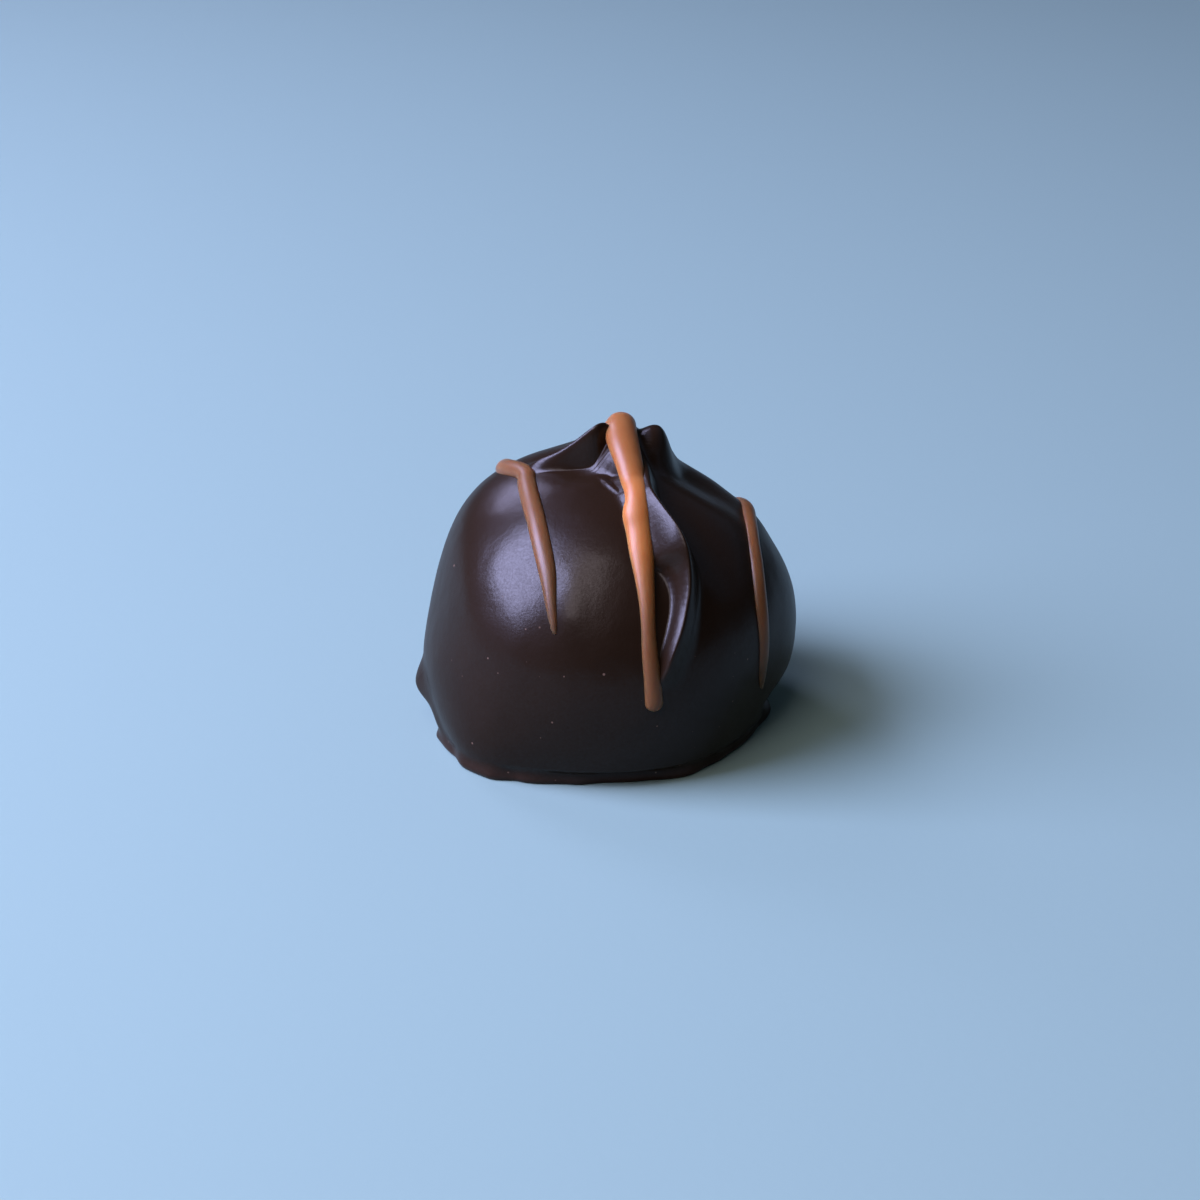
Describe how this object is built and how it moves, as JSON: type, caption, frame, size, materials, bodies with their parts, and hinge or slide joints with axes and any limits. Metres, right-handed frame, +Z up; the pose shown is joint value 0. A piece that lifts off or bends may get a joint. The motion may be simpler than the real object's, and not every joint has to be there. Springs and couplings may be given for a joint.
{
  "type": "chocolate orange truffle",
  "caption": "Round orange-flavoured truffle enrobed in dark chocolate, with a pulled fold and peak on top, orange chocolate drizzle lines and a flat base.",
  "frame": {"origin": "on the flat base, under the middle of the round body", "axes": "+Z up from the base to the peak; -Y is the front, where the fold and the long drizzle line run down; +X to the right"},
  "size_m": [0.0309, 0.0307, 0.0256],
  "materials": {
    "dark_couverture": "satin dark chocolate, hand dipped and set, with a soft sheen",
    "orange_chocolate": "satin orange-brown drizzle chocolate, set in rounded lines"
  },
  "bodies": {
    "root": {"enrobed_truffle": "dark_couverture"}
  },
  "joints": []
}
